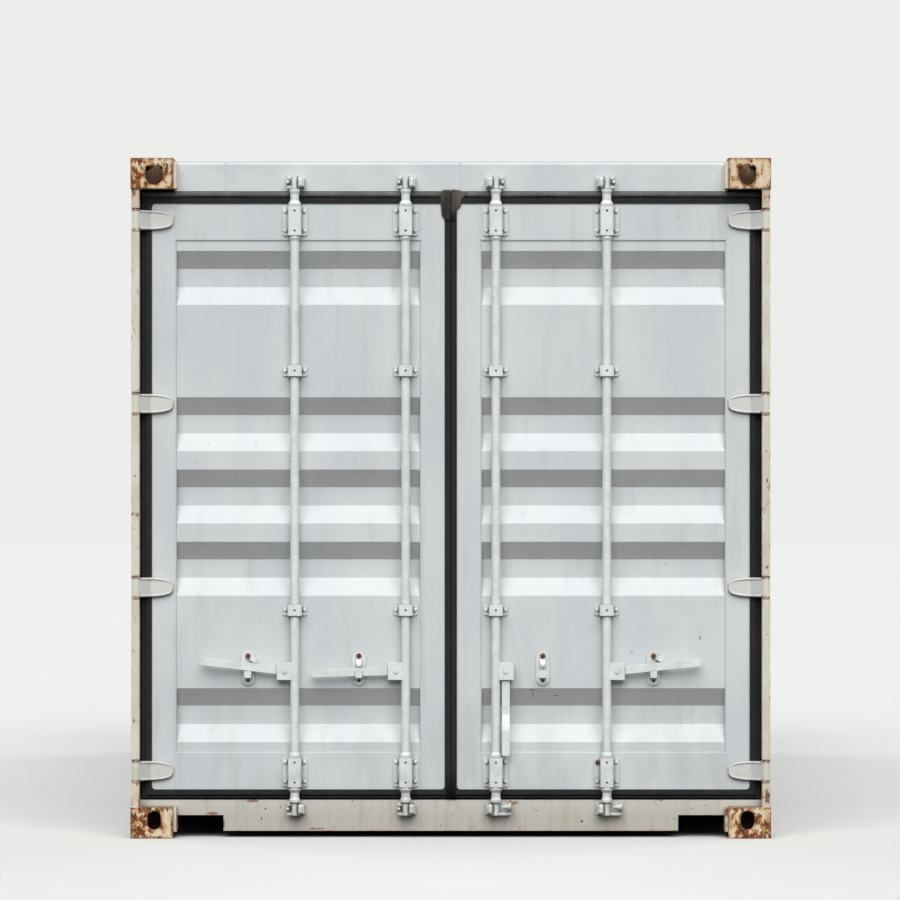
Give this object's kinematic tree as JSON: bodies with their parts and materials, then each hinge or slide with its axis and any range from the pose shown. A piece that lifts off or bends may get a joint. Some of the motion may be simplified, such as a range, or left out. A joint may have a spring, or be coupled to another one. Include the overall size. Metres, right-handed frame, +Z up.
{
  "type": "shipping container",
  "caption": "Freight container with corrugated steel walls, corner castings, fork pockets and double end doors that open on hinges with lock rods, cams and handles.",
  "frame": {"origin": "bottom centre of the container, on the plane under the lower corner castings", "axes": "+Z up, -Y out of the door end, +X to the right as seen by someone facing the doors"},
  "size_m": [2.438, 6.058, 2.591],
  "materials": {
    "painted_steel": "matt, weathered",
    "rusty_castings": "rusted",
    "post_paint": "matt, rust stained",
    "lock_gear": "painted over zinc",
    "gasket_rubber": "matt",
    "underframe_paint": "matt",
    "floor_plywood": "plain"
  },
  "bodies": {
    "container": {"door_end_castings": "rusty_castings", "front_end_castings": "rusty_castings", "door_posts": "post_paint", "front_posts": "painted_steel", "hinge_pins": "post_paint", "door_header": "painted_steel", "door_sill": "painted_steel", "sill_end_plates": "post_paint", "cam_keepers": "lock_gear", "front_top_rail": "painted_steel", "front_bottom_rail": "painted_steel", "front_wall": "painted_steel", "top_side_rails": "painted_steel", "bottom_side_rails": "painted_steel", "left_side_wall": "painted_steel", "right_side_wall": "painted_steel", "roof_sheet": "painted_steel", "cross_members": "underframe_paint", "fork_pockets": "underframe_paint", "floor_boards": "floor_plywood"},
    "left_door": {"left_door_frame": "painted_steel", "left_door_panel": "painted_steel", "left_door_gasket": "gasket_rubber", "left_hinge_blades": "lock_gear", "left_rod_brackets": "lock_gear", "left_handle_catches": "lock_gear"},
    "right_door": {"right_door_frame": "painted_steel", "right_door_panel": "painted_steel", "right_door_gasket": "gasket_rubber", "right_hinge_blades": "lock_gear", "right_rod_brackets": "lock_gear", "right_handle_catches": "lock_gear"},
    "lock_rod_1": {"lock_rod_1": "lock_gear"},
    "lock_handle_1": {"handle_1": "lock_gear"},
    "cover_1": {"catch_cover_1": "lock_gear"},
    "lock_rod_2": {"lock_rod_2": "lock_gear"},
    "lock_handle_2": {"handle_2": "lock_gear"},
    "cover_2": {"catch_cover_2": "lock_gear"},
    "lock_rod_3": {"lock_rod_3": "lock_gear"},
    "lock_handle_3": {"handle_3": "lock_gear"},
    "cover_3": {"catch_cover_3": "lock_gear"},
    "lock_rod_4": {"lock_rod_4": "lock_gear"},
    "lock_handle_4": {"handle_4": "lock_gear"},
    "cover_4": {"catch_cover_4": "lock_gear"}
  },
  "joints": [
    {"name": "left_door_swing", "type": "hinge", "parent": "container", "child": "left_door", "pos_m": [-1.201, -3.005, 1.3], "axis": [0, 0, -1], "range_deg": [0, 262]},
    {"name": "right_door_swing", "type": "hinge", "parent": "container", "child": "right_door", "pos_m": [1.201, -3.005, 1.3], "axis": [0, 0, 1], "range_deg": [0, 262]},
    {"name": "lock_rod_1_turn", "type": "hinge", "parent": "left_door", "child": "lock_rod_1", "pos_m": [-0.595, -2.989, 0.636], "axis": [0, 0, -1], "range_deg": [-110, 0]},
    {"name": "handle_1_lift", "type": "hinge", "parent": "lock_rod_1", "child": "lock_handle_1", "pos_m": [-0.633, -2.989, 0.636], "axis": [0, 1, 0], "range_deg": [-8.4, 8]},
    {"name": "lock_rod_2_turn", "type": "hinge", "parent": "left_door", "child": "lock_rod_2", "pos_m": [-0.172, -2.989, 0.636], "axis": [0, 0, -1], "range_deg": [-110, 0]},
    {"name": "handle_2_lift", "type": "hinge", "parent": "lock_rod_2", "child": "lock_handle_2", "pos_m": [-0.21, -2.989, 0.636], "axis": [0, 1, 0], "range_deg": [0, 8]},
    {"name": "lock_rod_3_turn", "type": "hinge", "parent": "right_door", "child": "lock_rod_3", "pos_m": [0.172, -2.989, 0.636], "axis": [0, 0, 1], "range_deg": [-110, 0]},
    {"name": "handle_3_lift", "type": "hinge", "parent": "lock_rod_3", "child": "lock_handle_3", "pos_m": [0.21, -2.989, 0.636], "axis": [0, -1, 0], "range_deg": [0, 65]},
    {"name": "lock_rod_4_turn", "type": "hinge", "parent": "right_door", "child": "lock_rod_4", "pos_m": [0.595, -2.989, 0.636], "axis": [0, 0, 1], "range_deg": [-110, 0]},
    {"name": "handle_4_lift", "type": "hinge", "parent": "lock_rod_4", "child": "lock_handle_4", "pos_m": [0.633, -2.989, 0.636], "axis": [0, -1, 0], "range_deg": [-7.6, 6]},
    {"name": "catch_cover_1_swing", "type": "hinge", "parent": "left_door", "child": "cover_1", "pos_m": [-0.774, -2.989, 0.694], "axis": [0, -1, 0], "range_deg": [-42, 40]},
    {"name": "catch_cover_2_swing", "type": "hinge", "parent": "left_door", "child": "cover_2", "pos_m": [-0.351, -2.989, 0.694], "axis": [0, -1, 0], "range_deg": [0, 80]},
    {"name": "catch_cover_3_swing", "type": "hinge", "parent": "right_door", "child": "cover_3", "pos_m": [0.351, -2.989, 0.694], "axis": [0, -1, 0], "range_deg": [-80, 80]},
    {"name": "catch_cover_4_swing", "type": "hinge", "parent": "right_door", "child": "cover_4", "pos_m": [0.774, -2.989, 0.694], "axis": [0, -1, 0], "range_deg": [-60.8, 48]}
  ],
  "couplings": [
    {"joint": "catch_cover_1_swing", "follows": "handle_1_lift", "ratio": 5},
    {"joint": "catch_cover_2_swing", "follows": "handle_2_lift", "ratio": 10},
    {"joint": "catch_cover_4_swing", "follows": "handle_4_lift", "ratio": 8}
  ]
}
